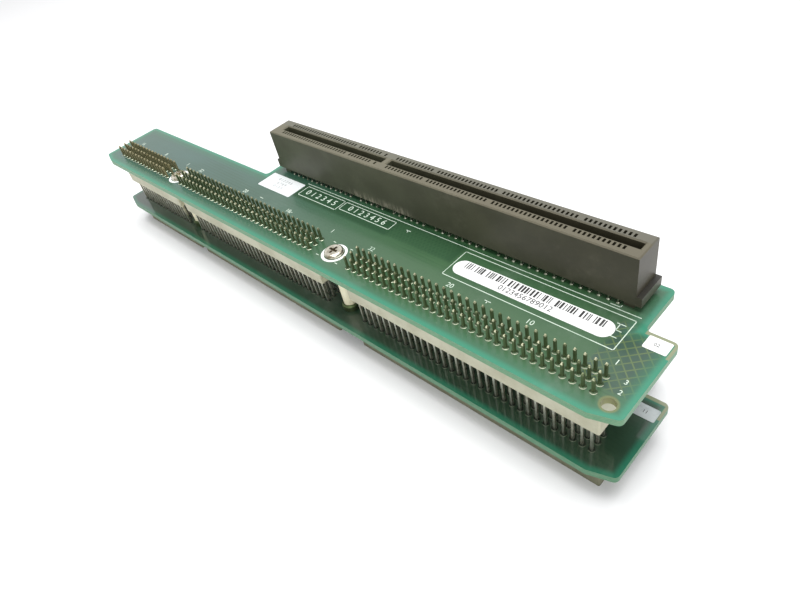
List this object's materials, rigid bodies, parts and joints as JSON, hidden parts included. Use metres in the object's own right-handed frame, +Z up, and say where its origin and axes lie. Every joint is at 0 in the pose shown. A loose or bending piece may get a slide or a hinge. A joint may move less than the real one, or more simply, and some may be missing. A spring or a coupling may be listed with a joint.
{
  "type": "server backplane board",
  "caption": "Stacked green circuit boards joined by pin fields and posts, with a long brown card slot on top and plug-in connectors beneath.",
  "frame": {"origin": "centre of the boards' outline in X and Y, at the plug-in face of the lower connectors", "axes": "+X along the boards towards the tab end, +Y from the pin edge to the slot edge, +Z up from the plug-in face to the slot's mouth"},
  "size_m": [0.241, 0.0426, 0.0496],
  "materials": {
    "board": "green solder mask over glass fibre board, satin",
    "connector_beige": "moulded, matt",
    "slot_brown": "moulded, matt, a little dusty",
    "pin_metal": "tin plated",
    "post_cream": "moulded, matt",
    "collar_metal": "plated, dull and dark",
    "screw_metal": "zinc plated",
    "label_white": "paper sticker, matt"
  },
  "bodies": {
    "root": {"upper_board": "board", "lower_board": "board", "lower_connector_1": "connector_beige", "lower_connector_2": "connector_beige", "lower_connector_3": "connector_beige", "upper_connector_1": "connector_beige", "upper_connector_2": "connector_beige", "upper_connector_3": "connector_beige", "short_pins_1": "pin_metal", "short_pins_2": "pin_metal", "short_pins_3": "pin_metal", "long_pins_1": "pin_metal", "long_pins_2": "pin_metal", "long_pins_3": "pin_metal", "slot_housing": "slot_brown", "slot_tails_front": "pin_metal", "slot_tails_back": "pin_metal", "posts": "post_cream", "collars": "collar_metal", "screws": "screw_metal", "stadium_label": "label_white", "square_label": "label_white", "upper_tab_label": "label_white", "lower_tab_label": "label_white"}
  },
  "joints": []
}
